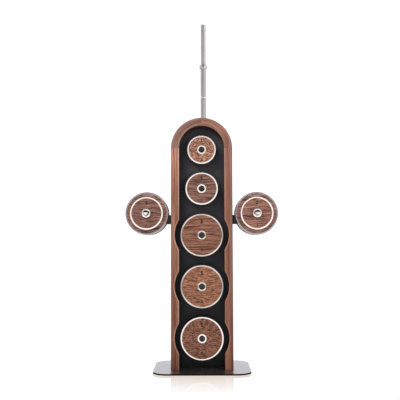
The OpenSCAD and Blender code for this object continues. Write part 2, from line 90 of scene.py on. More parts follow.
def soften(points, radii_mm, closed=False, steps=4):
    """A 2D outline whose corners become arcs; radii_mm holds one radius for each corner."""
    out = []
    count = len(points)
    for i, radius in enumerate(radii_mm):
        corner = Vector(points[i])
        if radius <= 0 or (not closed and i in (0, count - 1)):
            out.append(tuple(corner))
            continue
        before = Vector(points[i - 1]) - corner
        after = Vector(points[(i + 1) % count]) - corner
        half = before.angle(after) / 2
        cut = min(radius * MM / math.tan(half), 0.45 * before.length, 0.45 * after.length)
        radius = cut * math.tan(half)
        middle = (before.normalized() + after.normalized()).normalized()
        centre = corner + middle * (radius / math.sin(half))
        start = corner + before.normalized() * cut - centre
        end = corner + after.normalized() * cut - centre
        first, last = (math.degrees(math.atan2(v.y, v.x)) for v in (start, end))
        out += arc(centre, radius, first, first + (last - first + 180) % 360 - 180, steps)
    return out


class Piece:
    """One named piece under construction, in its own axes, placed by at and turn."""

    def __init__(self, name, at=(0, 0, 0), turn=UP):
        self.name = name
        self.place = move(at) @ turn
        self.bm = bmesh.new()

    def _grid(self, rows, closed):
        """Joins rows of vertices; a row of one vertex is a pole."""
        pairs = list(zip(rows, rows[1:]))
        if closed:
            pairs.append((rows[-1], rows[0]))
        for low, high in pairs:
            n = max(len(low), len(high))
            for j in range(n):
                k = (j + 1) % n
                corners = []
                for row, i in ((low, j), (low, k), (high, k), (high, j)):
                    v = row[i % len(row)]
                    if v not in corners:
                        corners.append(v)
                if len(corners) > 2:
                    self.bm.faces.new(corners)

    def spin(self, profile, segments=96, closed=True, shift=UP):
        """Spins a profile of (r, h) about +Z. r is a number, or a function of the angle."""
        rows = []
        for r, h in profile:
            if not callable(r) and r < 1e-9:
                rows.append([self.bm.verts.new(shift @ Vector((0, 0, h)))])
                continue
            row = []
            for j in range(segments):
                a = TAU * j / segments
                reach = r(a) if callable(r) else r
                spot = shift @ Vector((reach * math.cos(a), reach * math.sin(a), h))
                row.append(self.bm.verts.new(spot))
            rows.append(row)
        self._grid(rows, closed)

    def sweep(self, sections):
        """Joins closed sections of equally many 3D points, and returns the two end faces."""
        rows = [[self.bm.verts.new(p) for p in section] for section in sections]
        self._grid(rows, closed=False)
        return [self.bm.faces.new(row) for row in (rows[0], rows[-1])]

    def slab(self, outline, low, high, edge_mm, segments=3, shift=UP):
        """A flat plate of the given outline between two heights, with rounded rims."""
        caps = self.sweep([[shift @ Vector((x, y, h)) for x, y in outline] for h in (low, high)])
        bmesh.ops.bevel(
            self.bm, geom=list({e for f in caps for e in f.edges}), offset=edge_mm * MM,
            segments=segments, profile=0.5, affect="EDGES", clamp_overlap=True,
        )

    def done(self, material, node, slot, body="tower", sharp=38, seed=0.0, tones_and_painted_light=((1,) * 3,) * 3):
        """Makes the object, shades it, and puts it on its body in place of the CAD node."""
        bmesh.ops.recalc_face_normals(self.bm, faces=self.bm.faces)
        mesh = bpy.data.meshes.new(self.name)
        self.bm.to_mesh(mesh)
        self.bm.free()
        obj = dress(self.name, mesh, self.place, material, body, sharp)
        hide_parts(node)
        obj["seed"] = float(seed)
        for key, tone in zip(("foot", "tint", "head"), tones_and_painted_light):
            obj[key] = [float(c) for c in tone]


def turned(name, profiles, at, turn, *finish, segments=96, closed=False, **shading):
    """A piece made of profiles spun about one axis; finish and shading are as done takes them."""
    piece = Piece(name, at, turn)
    for profile in profiles:
        piece.spin(profile, segments, closed)
    piece.done(*finish, **shading)


def link(obj):
    bpy.context.scene.collection.objects.link(obj)


def dress(name, mesh, place, material, body, sharp=38):
    """Links a mesh as a finished piece of the object."""
    mesh.shade_smooth()
    mesh.set_sharp_from_angle(angle=math.radians(sharp))
    mesh.materials.append(material)
    obj = bpy.data.objects.new(name, mesh)
    obj.matrix_world = place
    link(obj)
    shading = obj.modifiers.new("even_shading", "WEIGHTED_NORMAL")
    shading.keep_sharp = True
    shading.weight = 80
    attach(obj, body)
    return obj


# ------ materials


class Shader:
    """Adds and links the shader nodes of one material or world."""

    def __init__(self, holder):
        self.holder = holder
        holder.use_nodes = True
        self.tree = holder.node_tree
        self.tree.nodes.clear()

    def add(self, kind, props=None, **inputs):
        """A node. An input is named, or is _ and its number, and takes a value or a socket."""
        node = self.tree.nodes.new("ShaderNode" + kind)
        for key, value in (props or {}).items():
            setattr(node, key, value)
        for key, value in inputs.items():
            socket = node.inputs[int(key[1:]) if key[0] == "_" else key.replace("_", " ")]
            if isinstance(value, bpy.types.NodeSocket):
                self.tree.links.new(value, socket)
            else:
                socket.default_value = value
        return node

    def math(self, operation, a, b=0.0, c=0.0, clamp=False):
        node = self.add("Math", {"operation": operation, "use_clamp": clamp}, _0=a, _1=b, _2=c)
        return node.outputs[0]

    def plus(self, a, b, clamp=False):
        return self.math("ADD", a, b, clamp=clamp)

    def minus(self, a, b):
        return self.math("SUBTRACT", a, b)

    def times(self, first, *others):
        for other in others:
            first = self.math("MULTIPLY", first, other)
        return first

    def off(self, a, b):
        """How far a is from b, either way."""
        return self.math("ABSOLUTE", self.minus(a, b))

    def reach(self, a, b):
        """Distance of the point (a, b) from the origin."""
        return self.math("SQRT", self.plus(self.times(a, a), self.times(b, b)))

    def vector(self, x, y, z):
        return self.add("CombineXYZ", _0=x, _1=y, _2=z).outputs[0]

    def grey(self, r, g, b):
        return self.add("CombineColor", _0=r, _1=g, _2=b).outputs[0]

    def noise(self, where, detail=2.0, rough=0.5, scale=1.0):
        node = self.add("TexNoise", Vector=where, Scale=scale, Detail=detail, Roughness=rough)
        return node.outputs[0]

    def mix(self, share, a, b, blend="MIX"):
        return self.add("MixRGB", {"blend_type": blend}, _0=share, _1=a, _2=b).outputs[0]

    def ramp(self, value, *stops):
        """A colour ramp of three stops, each a place and a colour."""
        node = self.add("ValToRGB", _0=value)
        points = node.color_ramp.elements
        points.new(0.5)
        for point, (place, colour) in zip(points, stops):
            point.position, point.color = place, colour
        return node.outputs[0]

    def range(self, value, low, high, out_low=0.0, out_high=1.0):
        inputs = {"_0": value, "_1": low, "_2": high, "_3": out_low, "_4": out_high}
        return self.add("MapRange", {"clamp": True}, **inputs).outputs[0]

    def local(self):
        """The piece's own coordinates as x, y, z."""
        return self.add("SeparateXYZ", _0=self.add("TexCoord").outputs["Object"]).outputs

    def normal(self):
        """The surface's direction in the scene, as x, y, z."""
        return self.add("SeparateXYZ", _0=self.add("NewGeometry").outputs["Normal"]).outputs

    def own(self, name):
        """A value kept on the piece itself: its seed, or one of its tints."""
        props = {"attribute_type": "OBJECT", "attribute_name": name}
        return self.add("Attribute", props).outputs

    def bump(self, height, strength, distance):
        return self.add("Bump", Strength=strength, Distance=distance, Height=height).outputs[0]

    def output(self, surface, kind="Material"):
        out = self.add("Output" + kind)
        self.tree.links.new(surface.outputs[0], out.inputs[0])
        return self.holder

    def finish(self, **inputs):
        return self.output(self.add("BsdfPrincipled", **inputs))


def new_shader(name):
    return Shader(bpy.data.materials.new(name))


def rgb(r, g, b):
    """A colour given as display values from 0 to 255, turned into scene values."""
    out = []
    for v in (r, g, b):
        v = v / 255
        out.append(v / 12.92 if v <= 0.04045 else ((v + 0.055) / 1.055) ** 2.4)
    return tuple(out) + (1.0,)


def brighter(colour, gain):
    """A colour times gain, which is below 1 for a darker one."""
    return tuple(min(1.0, c * gain) for c in colour[:3]) + (1.0,)


DUST = rgb(120, 118, 116)
# painted light and shade on the wooden frame: a highlight on the inner edges, shade on the outer
# edges and on the inner faces
PAINTED_EDGE_HIGHLIGHT = rgb(222, 178, 158)
PAINTED_EDGE_SHADE = rgb(88, 62, 56)
PAINTED_INNER_SHADE = rgb(40, 24, 18)


def wood(name, grain, dark, mid, light, line=150.0, length=7.0, broad=0.35, veins=0.5,
         ripple=0.3, wave=5.0, centre=None, fades=(0.02, 0.2, 0.8, 1.1), tinted=True):
    """Oiled wood. grain says which way it runs: up, across, or round the arch.

    line and length are how many streaks a metre holds across and along the grain, and wave
    how many bends. broad, veins and ripple are how much broad bands, dark growth lines and
    short dashes show. A piece's tint, partly its own tone and partly painted light and
    shade, changes from foot to middle and from middle to head between the heights in fades,
    and centre is the height of the arch's centre.
    """
    s = new_shader(name)
    x, y, z = s.local()
    if grain == "up":
        along, a, b = z, x, y
    elif grain == "across":
        along, a, b = x, y, z
    else:
        rise = s.minus(z, centre)
        reach = s.reach(x, rise)
        along, a, b = s.times(s.math("ARCTAN2", rise, x), 0.14), reach, y
    a = s.plus(a, s.own("seed")["Fac"])
    deep = s.times(b, 30.0)

    def figure(f_along, f_across, base, detail, rough=0.5):
        where = s.vector(s.times(along, f_along), s.times(base, f_across), deep)
        return s.noise(where, detail, rough)

    # the growth lines wander slowly, then broad bands, streaks, fibres and pores, coarse to fine
    slow = figure(wave, 16.0, a, 2.0)
    bent = s.plus(a, s.times(s.minus(slow, 0.5), 0.022))
    band = figure(length * 0.3, line * 0.28, bent, 3.0, 0.6)
    streak = figure(length, line, bent, 3.0, 0.55)
    dash = figure(length * 4.0, line * 1.3, bent, 2.0, 0.55)
    fibre = figure(40.0, 1100.0, a, 3.0, 0.6)
    pore = figure(90.0, 2600.0, a, 1.0)
    tone = s.times(s.range(band, 0.32, 0.68), broad)
    tone = s.plus(tone, s.times(s.range(streak, 0.34, 0.66), 1.0 - broad))
    tone = s.plus(tone, s.times(s.minus(dash, 0.5), 2.0 * ripple))
    tone = s.plus(tone, s.times(s.minus(fibre, 0.5), 0.4), clamp=True)
    colour = s.ramp(tone, (0.1, dark), (0.5, mid), (0.9, light))
    # dark lines where a growth ring closes
    ring = figure(1.6, line * 0.4, bent, 1.0, 0.4)
    vein = s.times(s.range(s.off(ring, 0.5), 0.004, 0.03, 1.0, 0.0), s.range(band, 0.62, 0.4))
    colour = s.mix(s.times(vein, veins), colour, brighter(dark, 0.7))
    open_pore = s.range(pore, 0.66, 0.78)
    colour = s.mix(s.times(open_pore, 0.45), colour, brighter(dark, 0.45))
    if grain != "across":
        # inner long edges get a painted highlight, outer ones a painted shade, and inner faces a
        # dark painted shade
        normal = s.normal()
        if grain == "up":
            side = s.times(normal[0], s.math("SIGN", x))
        else:
            side = s.plus(s.times(normal[0], x), s.times(normal[2], rise))
            side = s.math("DIVIDE", side, reach)
        facing = s.range(s.times(normal[1], -1.0), 0.1, 0.45)
        inner = s.times(s.range(side, -0.08, -0.4), facing, 0.7 if grain == "up" else 0.1)
        outer = s.times(s.range(side, 0.2, 0.75), facing, 0.45)
        painted_shade_share = s.times(s.range(side, -0.75, -0.95), s.minus(1.0, facing), 0.75)
        for share, shade in ((inner, PAINTED_EDGE_HIGHLIGHT), (outer, PAINTED_EDGE_SHADE), (painted_shade_share, PAINTED_INNER_SHADE)):
            colour = s.mix(share, colour, shade)
    # painted light and shade: the tint, over the board's own tone, changes from foot to head
    if tinted:
        tint, head, foot = (s.own(key)["Color"] for key in ("tint", "head", "foot"))
        tint = s.mix(s.range(z, fades[2], fades[3]), tint, head)
        tint = s.mix(s.range(z, fades[0], fades[1]), foot, tint)
        colour = s.mix(1.0, colour, tint, "MULTIPLY")
    height = s.minus(s.times(fibre, 0.6), open_pore)
    return s.finish(
        Base_Color=colour, Roughness=s.plus(s.times(streak, 0.18), 0.42),
        Specular_IOR_Level=0.22, Coat_Weight=0.05, Coat_Roughness=0.3,
        Normal=s.bump(height, 0.35, 0.00025),
    )


# How finely the turning lines of bright metal lie, in noise cells a metre
TURNING = 2200.0


def steel(name, colour, rough, smudge=0.06, lines=0.10, depth=1e-5, bow=0.0, painted_sky=0.0,
          rim=0.0, rings=(), centre=0.0):
    """Bright metal with fine turning lines about the piece's own axis, and faint smudges.

    bow is how much a painted reflection darkens a turned face to its left and right, sky
    how dark a painted reflection of a ceiling makes the upper slopes, and rim how much a
    painted shade darkens the outline of a round bar. rings are brighter stretches of a bar,
    each from and to a distance from its centre, with its gain.
    """
    s = new_shader(name)
    x, y, z = s.local()
    angle = s.math("ARCTAN2", y, x)
    where = s.vector(s.times(s.reach(x, y), TURNING), s.times(angle, 0.6), s.times(z, TURNING))
    line = s.noise(where, 2.0, 0.6)
    cloud = s.noise(s.vector(*(s.times(c, 30.0) for c in (x, y, z))), 4.0, 0.6)
    value = s.plus(rough - lines / 2 - smudge / 2, s.times(line, lines))
    value = s.plus(value, s.times(cloud, smudge))
    # bow, sky and rim paint reflection and shade into the colour
    level = s.plus(s.math("COSINE", s.times(angle, 4.0)), s.math("COSINE", s.times(angle, 2.0)))
    facing = s.add("LayerWeight", Blend=0.5).outputs["Facing"]
    shade = s.times(
        s.range(cloud, 0.3, 0.7, 0.94, 1.03), s.math("MULTIPLY_ADD", level, -bow / 2, 1.0),
        s.range(s.normal()[2], 0.02, 0.16, 1.0, 1.0 - painted_sky),
        s.range(facing, 0.1, 0.5, 1.0, 1.0 - rim),
    )
    for near, far, gain in rings:
        off = s.off(z, centre)
        lit = s.times(s.math("GREATER_THAN", off, near), s.math("LESS_THAN", off, far))
        shade = s.times(shade, s.math("MULTIPLY_ADD", lit, gain - 1.0, 1.0))
    tint = s.mix(1.0, colour, s.grey(shade, shade, shade), "MULTIPLY")
    return s.finish(
        Base_Color=tint, Metallic=1.0, Roughness=value, Normal=s.bump(line, 0.25, depth)
    )


def coated(name, colour, rough, grain=2500.0, grain_depth=6e-5, coat=0.0, coat_rough=0.2,
           wear=0.0, ior=1.5, flat=False):
    """Painted or powder-coated surface: a fine orange-peel texture and slightly worn edges.

    With flat only level faces have the full shine, and the cut edges stay dull.
    """
    s = new_shader(name)
    where = s.vector(*s.local())
    peel = s.noise(where, 2.0, 0.6, grain)
    cloud = s.noise(where, 4.0, 0.6, 9.0)
    edge = s.range(s.add("NewGeometry").outputs["Pointiness"], 0.53, 0.62)
    tone = s.mix(s.range(cloud, 0.3, 0.7), brighter(colour, 0.8), brighter(colour, 1.2))
    tone = s.mix(s.times(edge, wear), tone, DUST)
    value = s.plus(s.times(peel, 0.1), rough - 0.05)
    value = s.plus(value, s.times(s.minus(cloud, 0.5), 0.12))
    shine = 0.5
    if flat:
        level = s.range(s.normal()[2], 0.75, 0.97)
        shine, coat = s.times(level, shine), s.times(level, coat)
    return s.finish(
        Base_Color=tone, Roughness=value, IOR=ior, Coat_Weight=coat, Coat_Roughness=coat_rough,
        Specular_IOR_Level=shine, Normal=s.bump(peel, 0.3, grain_depth),
    )


def lacquered_panel(name):
    """Black stained veneer: very dark, with a trace of vertical grain, a painted soft highlight
    and painted plate shadows.
    """
    s = new_shader(name)
    x, y, z = s.local()
    where = s.vector(x, y, z)
    grain = s.noise(s.vector(s.times(x, 500.0), s.times(y, 500.0), s.times(z, 14.0)), 4.0, 0.65)
    cloud = s.noise(where, 3.0, 0.5, 6.0)
    dust = s.range(s.noise(where, 0.0, 0.5, 900.0), 0.74, 0.8)
    # painted light: brighter near the middle and towards the top
    painted_light_and_shade = s.times(s.range(s.off(x, 0.03), 0.02, 0.15, 1.2, 0.5), s.range(z, 0.2, 1.2))
    # painted shadow: the plates shade a wide circle round them
    for plates in PLATE_SETS:
        lo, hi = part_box(plates + "_plate_outer")
        radius = (hi.x - lo.x) / 2
        away = s.reach(x, s.minus(z, (lo.z + hi.z) / 2))
        painted_light_and_shade = s.times(painted_light_and_shade, s.range(away, radius + 0.015, radius + 0.035, 0.6, 1.0))
    tone = s.mix(painted_light_and_shade, rgb(11, 10, 12), rgb(96, 94, 102))
    tone = s.mix(s.range(grain, 0.35, 0.65, 0.0, 0.3), tone, rgb(18, 18, 20))
    tone = s.mix(s.times(dust, 0.25), tone, DUST)
    return s.finish(
        Base_Color=tone, Roughness=s.plus(s.times(cloud, 0.15), 0.38), Specular_IOR_Level=0.25,
        Normal=s.bump(grain, 0.2, 0.0001),
    )


def plated(name):
    """Zinc plating: a dull spangle with a slight blue cast."""
    s = new_shader(name)
    where = s.add("TexCoord").outputs["Object"]
    cell = s.add("TexVoronoi", Vector=where, Scale=420.0).outputs["Color"]
    cell = s.add("SeparateColor", _0=cell).outputs[0]
    cloud = s.noise(where, 3.0, 0.6, 60.0)
    return s.finish(
        Base_Color=s.mix(cell, rgb(176, 178, 182), rgb(196, 198, 202)), Metallic=1.0,
        Roughness=s.plus(s.times(cloud, 0.2), 0.24), Normal=s.bump(cloud, 0.1, 0.0001),
    )


def inlay(name, mid, contrast, *figure):
    """Wood of the plates' faces: one veneer a name, from the tone in its middle."""
    mid = rgb(*mid)
    dark, light = brighter(mid, 0.30 / contrast), brighter(mid, 1.75 * contrast)
    return wood("inlay_" + name, "across", dark, mid, light, *figure)


# The number burnt into the plates of each peg, from the top one down
WEIGHT = {"small": "1", "medium": "2", "upper_large": "5", "middle_large": "5", "lower_large": "5"}
PLATE_SETS = tuple(WEIGHT)

POST_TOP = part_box("right_post")[1].z
WALNUT_POST = wood(
    "walnut_post", "up", rgb(112, 72, 60), rgb(160, 112, 94), rgb(188, 138, 118),
    length=3.0, veins=0.35, ripple=0.12,
)
WALNUT_ARCH = wood(
    "walnut_arch", "arch", rgb(104, 68, 54), rgb(150, 108, 88), rgb(178, 132, 108),
    length=6.0, veins=0.35, ripple=0.12, centre=POST_TOP,
    fades=(0.0, 0.1, POST_TOP + 0.03, POST_TOP + 0.14),
)
# The veneer on the plates of each set: its name, the tone in its middle, its contrast, and
# then line, length, broad, veins, ripple and wave, as wood takes them
VENEER = {
    "small": inlay("mottled", (178, 127, 105), 1.4, 200.0, 80.0, 0.1, 0.0, 1.1, 24.0),
    "medium": inlay("brown", (158, 114, 100), 1.0, 200.0, 11.0, 0.25, 0.5, 0.45, 9.0),
    "upper_large": inlay("veined", (168, 116, 95), 1.0, 230.0, 11.0, 0.15, 1.0, 0.5, 14.0),
    "middle_large": inlay("orange", (180, 124, 97), 1.1, 250.0, 30.0, 0.15, 0.2, 0.8, 9.0),
    "lower_large": inlay("speckled", (149, 102, 82), 1.3, 270.0, 60.0, 0.1, 0.0, 1.1, 20.0),
    "left_dumbbell": inlay("left", (161, 116, 102), 1.2, 210.0, 14.0, 0.2, 0.8, 0.5, 14.0),
    "right_dumbbell": inlay("right", (178, 127, 109), 1.0, 190.0, 11.0, 0.2, 1.0, 0.5, 20.0),
}
# bow, sky and rim in the steels below paint reflection and shade into their colour
POLISHED = steel("polished_steel", rgb(240, 233, 230), 0.2, depth=3e-6, bow=0.06)
# painted shade: a darker copy of the polished steel for the upper and middle large plates
SHADED_LARGE_RIM = steel("polished_steel_large_painted_shade", rgb(202, 191, 187), 0.2, depth=3e-6, bow=0.4)
# painted shade: a darker, greyer copy of the polished steel for the dumbbells' large plates
SHADED_GREY_RIM = steel(
    "polished_steel_grey_painted_shade", rgb(154, 149, 155), 0.2, depth=3e-6, bow=0.2, painted_sky=0.45
)
# painted reflection: the dumbbell bars' upper slopes mirror a nearly black ceiling
BAR_END = steel("polished_bar", rgb(236, 230, 228), 0.15, depth=2e-6, painted_sky=0.96)
MIRROR = {"rough": 0.1, "smudge": 0.04, "lines": 0.04, "depth": 1e-6}
# painted reflection on the nuts: darker to the left and right and on the upper slopes
CHROME = steel("chrome", rgb(220, 214, 212), bow=0.25, painted_sky=0.3, **MIRROR)
# painted shade darkens the outline of the barbell's chrome collars and caps
BAR_CHROME = steel("chrome_painted_dark_edge", rgb(236, 233, 231), rim=0.55, **MIRROR)
BLACK_STEEL = coated("black_steel", rgb(34, 33, 34), 0.42, wear=0.15)
BASE_STEEL = coated(
    "black_base_steel", rgb(40, 35, 33), 0.36, coat=1.0, coat_rough=0.3, wear=0.1, ior=2.1,
    flat=True,
)
PANEL = lacquered_panel("black_panel")
RUBBER = coated("black_rubber", rgb(28, 28, 28), 0.72, grain=1400.0, grain_depth=1.5e-4)
ZINC = plated("zinc_plated")
BEECH = wood(
    "beech", "up", rgb(190, 150, 110), rgb(208, 170, 130), rgb(220, 186, 148), veins=0.1,
    tinted=False,
)
INK = coated("burnt_mark", rgb(40, 22, 18), 0.7, grain=900.0)
FAINT_INK = coated("faint_mark", rgb(84, 48, 38), 0.7, grain=900.0)


# ------ shared shapes


def middle(node):
    lo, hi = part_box(node)
    return (lo + hi) / 2


def extent(node):
    lo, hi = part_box(node)
    return hi - lo


HUB_R = 23 * MM
BORE_R = 15 * MM
RIM_W = 8 * MM
RECESS = 5.5 * MM
INLAY_T = 5 * MM
WOOD_GAP = 0.05 * MM
PLATE_T = 25 * MM


def disc_profile(radius):
    """Outline of a steel plate: rim, hub and the pockets for the wood in both faces."""
    rim = radius - RIM_W
    thick = PLATE_T
    points = [
        (BORE_R, 0), (HUB_R, 0), (HUB_R, RECESS), (rim, RECESS), (rim, 0), (radius, 0),
        (radius, thick), (rim, thick), (rim, thick - RECESS), (HUB_R, thick - RECESS),
        (HUB_R, thick), (BORE_R, thick),
    ]
    soft_mm = [1.2, 0.7, 0, 0, 0.8, 2.2, 2.2, 0.8, 0, 0, 0.7, 1.2]
    return soften(points, soft_mm, closed=True, steps=5)


def ring_profile(r_in, r_out, low, high, soft_mm):
    """Outline of a ring with evenly rounded corners."""
    corners = [(r_in, low), (r_out, low), (r_out, high), (r_in, high)]
    return soften(corners, [soft_mm] * 4, closed=True, steps=3)


def wood_rings(piece, radius, shift=UP):
    """The two rings of wood in a plate's faces."""
    rim = radius - RIM_W - WOOD_GAP
    for low in (RECESS - INLAY_T, PLATE_T - RECESS):
        profile = ring_profile(HUB_R + WOOD_GAP, rim, low, low + INLAY_T, 0.5)
        piece.spin(profile, 128, shift=shift)


def numeral(name, text, at, height, body, ink):
    """A plain number burnt into the wood; at is its middle, on the face of the wood."""
    curve = bpy.data.curves.new(name + "_outline", "FONT")
    curve.body = text
    curve.size = height
    curve.align_x = curve.align_y = "CENTER"
    curve.extrude = 0.12 * MM
    curve.offset = 0.055 * height
    curve.resolution_u = 4
    holder = bpy.data.objects.new(name + "_outline", curve)
    link(holder)
    bpy.context.view_layer.update()
    graph = bpy.context.evaluated_depsgraph_get()
    mesh = bpy.data.meshes.new_from_object(holder.evaluated_get(graph))
    mesh.name = name
    mesh.materials.clear()
    bpy.data.objects.remove(holder)
    bpy.data.curves.remove(curve)
    dress(name, mesh, move(at) @ TO_FRONT, ink, body)


def face_numbers(prefix, text, centre, radius, face_y, body):
    """The number of a plate, once above its hub and once, smaller and faint, below it."""
    for end, up, height, ink in (("top", 0.62, 0.24, INK), ("bottom", -0.70, 0.17, FAINT_INK)):
        spot = (centre.x, face_y, centre.z + up * radius)
        numeral(f"{prefix}_number_{end}", text, spot, height * radius, body, ink)


# ------ wooden frame

# Sizes that the boxes can't give are those of the CAD part
EDGE_R = 7 * MM
GROOVE_GAP = 0.05 * MM
GROOVE_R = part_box("back_panel")[1].x + 0.25 * MM
PANEL_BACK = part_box("back_panel")[1].y
SCALLOP_R = 140 * MM
post_lo, post_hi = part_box("right_post")
RAIL_IN = post_lo.x
RAIL_OUT, HALF_D = post_hi.x, post_hi.y
PEG_DROP = 2.45 * MM
peg_heights = {s: middle(s + "_plate_outer").z + PEG_DROP for s in PLATE_SETS}
scallop_heights = [z for s, z in peg_heights.items() if s.endswith("large")]
END_SHRINK = 0.35 * MM
END_BEVEL = 0.5 * MM


def rail_section(front_in, stretch, is_end):
    """Section of the wooden rail as (x, y), x outwards: rounded corners and panel groove.

    stretch widens the inner front rounding, and the sections at a board's ends are smaller.
    """
    steps = 7
    e = EDGE_R
    outline = [
        (front_in + e * stretch * (1 - x), -HALF_D + e * (1 - y))
        for x, y in arc((0, 0), 1, 0, 90, steps)
    ]
    outline += arc((RAIL_OUT - e, -HALF_D + e), e, 270, 360, steps)
    outline += arc((RAIL_OUT - e, HALF_D - e), e, 0, 90, steps)
    outline += arc((RAIL_IN + e, HALF_D - e), e, 90, 180, steps)
    outline += [
        (RAIL_IN, PANEL_BACK + GROOVE_GAP), (GROOVE_R, PANEL_BACK + GROOVE_GAP),
        (GROOVE_R, -GROOVE_GAP), (front_in, -GROOVE_GAP),
    ]
    if is_end:
        mid_x = (RAIL_IN + RAIL_OUT) / 2
        keep_x, keep_y = 1 - END_SHRINK / (mid_x - RAIL_IN), 1 - END_SHRINK / HALF_D
        outline = [(mid_x + (x - mid_x) * keep_x, y * keep_y) for x, y in outline]
    return outline


def scalloped(z):
    """How far the inner front edge stands from the middle at height z, and its slant."""
    reach, slant = RAIL_IN, 1.0
    blend = 1.2 * MM
    for centre in scallop_heights:
        dz = abs(z - centre)
        if dz < SCALLOP_R:
            cut = math.sqrt(SCALLOP_R**2 - dz**2)
            merged = (reach + cut + math.sqrt((reach - cut) ** 2 + blend**2)) / 2
            if cut > reach:
                slant = SCALLOP_R / cut
            reach = merged
    return reach, slant


# Each board's tone at its foot, in its middle and at its head: partly its own tone, partly painted
# light and shade along its length
BOARD_TONES_AND_PAINTED_LIGHT = {
    "left_post": ((0.72, 0.66, 0.60), (1.36, 1.33, 1.28), (2.07, 2.07, 2.14)),
    "right_post": ((0.98, 0.86, 0.70), (1.08, 0.97, 0.90), (1.30, 1.30, 1.38)),
    "left_arch": ((1.57, 1.79, 2.20), (1.57, 1.79, 2.20), (1.16, 1.25, 1.52)),
    "right_arch": ((1.63, 1.62, 1.95), (1.63, 1.62, 1.95), (1.72, 1.75, 1.83)),
}


def post(side, name):
    """A post, in sections that lie closer together along the scallops and at their ends."""
    lo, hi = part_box(name)
    heights = {lo.z, lo.z + END_BEVEL, hi.z - END_BEVEL, hi.z}
    span = math.sqrt(SCALLOP_R**2 - RAIL_IN**2)
    steps = 22
    for centre in scallop_heights:
        for k in range(-steps, steps + 1):
            heights.add(centre + span * 1.08 * math.sin(math.pi / 2 * k / steps))
        for k in range(-6, 7):
            for end in (-span, span):
                heights.add(centre + end + k * END_BEVEL)
    piece = Piece(name + "_wood")
    sections = []
    for z in sorted(heights):
        section = rail_section(*scalloped(z), z in (lo.z, hi.z))
        sections.append([(side * x, y, z) for x, y in section])
    piece.sweep(sections)
    piece.done(WALNUT_POST, name, "walnut_frame", seed=0.31 * side, tones_and_painted_light=BOARD_TONES_AND_PAINTED_LIGHT[name])


def quarter_arch(side, name):
    """A quarter of a ring, from the top of a post to the seam in the middle."""
    piece = Piece(name + "_wood")
    steps = 56
    quarter = math.pi / 2
    tip = END_BEVEL / RAIL_OUT
    angles = [0.0, tip, *(quarter * k / steps for k in range(1, steps)), quarter - tip, quarter]
    sections = []
    for a in angles:
        section = rail_section(RAIL_IN, 1.0, a in (0.0, quarter))
        sections.append(
            [(side * r * math.cos(a), y, POST_TOP + r * math.sin(a)) for r, y in section]
        )
    piece.sweep(sections)
    piece.done(WALNUT_ARCH, name, "walnut_frame", seed=0.53 * side, tones_and_painted_light=BOARD_TONES_AND_PAINTED_LIGHT[name])


post(-1, "left_post")
post(1, "right_post")
quarter_arch(-1, "left_arch")
quarter_arch(1, "right_arch")


# ------ base


def rounded_rectangle(half_w, half_d, radius, steps=16):
    out = []
    for sx, sy, start in ((1, 1, 0), (-1, 1, 90), (-1, -1, 180), (1, -1, 270)):
        centre = (sx * (half_w - radius), sy * (half_d - radius))
        out += arc(centre, radius, start, start + 90, steps)
    return out


BASE_CORNER_R = 75 * MM
base_mid, base_size = middle("base_plate"), extent("base_plate")
piece = Piece("base_plate_steel", (base_mid.x, base_mid.y, 0))
outline = rounded_rectangle(base_size.x / 2, base_size.y / 2, BASE_CORNER_R)
low, high = base_mid.z - base_size.z / 2, base_mid.z + base_size.z / 2
piece.slab(outline, low, high, edge_mm=1.3, segments=4)
piece.done(BASE_STEEL, "base_plate", "black_steel", sharp=30)


# ------ pegs and their fixings

PEG_R = 12.5 * MM
STUD_R = 5 * MM
SHOULDER_R = 28 * MM
SHOULDER_T = 25 * MM
peg_lo, peg_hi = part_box("plate_pegs")
PEG_END = -peg_lo.y
STUD_END = peg_hi.y


def ridged(radius, depth, pitch, low, high, rows_per_pitch, ridge):
    """Profile rows of a cut surface that fades out at its ends; ridge(a, h) is 1 on crests."""
    rows = []
    count = int(round((high - low) / pitch * rows_per_pitch))
    for i in range(count + 1):
        h = low + (high - low) * i / count
        cut = depth * min(1.0, (h - low) / pitch, (high - h) / pitch)
        rows.append((lambda a, h=h, cut=cut: radius - cut * (1 - ridge(a, h)), h))
    return rows


def threaded(radius, depth, pitch, low, high):
    """A screw thread with flat crests."""
    def ridge(a, h):
        turn = (h / pitch + a / TAU) % 1.0
        return min(1.0, 1.5 * (1 - abs(2 * turn - 1)))
    return ridged(radius, depth, pitch, low, high, 6, ridge)


def knurl(radius, depth, around, pitch, low, high):
    """A diamond knurl."""
    def ridge(a, h):
        u = (around * a / TAU + h / pitch) % 1.0
        v = (around * a / TAU - h / pitch) % 1.0
        return min(abs(2 * u - 1), abs(2 * v - 1))
    return ridged(radius, depth, pitch, low, high, 4, ridge)


peg = [(0, -STUD_END), (STUD_R - MM, -STUD_END)]
peg += threaded(STUD_R, 0.7 * MM, 1.5 * MM, -STUD_END + MM, -MM)
peg += soften(
    [
        (STUD_R, 0), (SHOULDER_R, 0), (SHOULDER_R, SHOULDER_T), (PEG_R, SHOULDER_T),
        (PEG_R, PEG_END), (0, PEG_END),
    ],
    [0, 0.8, 2, 0.6, 2.4, 0], steps=5,
)
piece = Piece("plate_pegs_turned")
for z in peg_heights.values():
    piece.spin(peg, 64, closed=False, shift=move((0, 0, z)) @ TO_FRONT)
piece.done(BLACK_STEEL, "plate_pegs", "black_steel", sharp=32)


def hexagon(apothem, limit=math.inf):
    """A hexagon's radius by angle, with its corners cut back to a circle of radius limit."""
    def reach(a):
        part = (a + math.pi / 6) % (math.pi / 3) - math.pi / 6
        return min(apothem / math.cos(part), limit)
    return reach


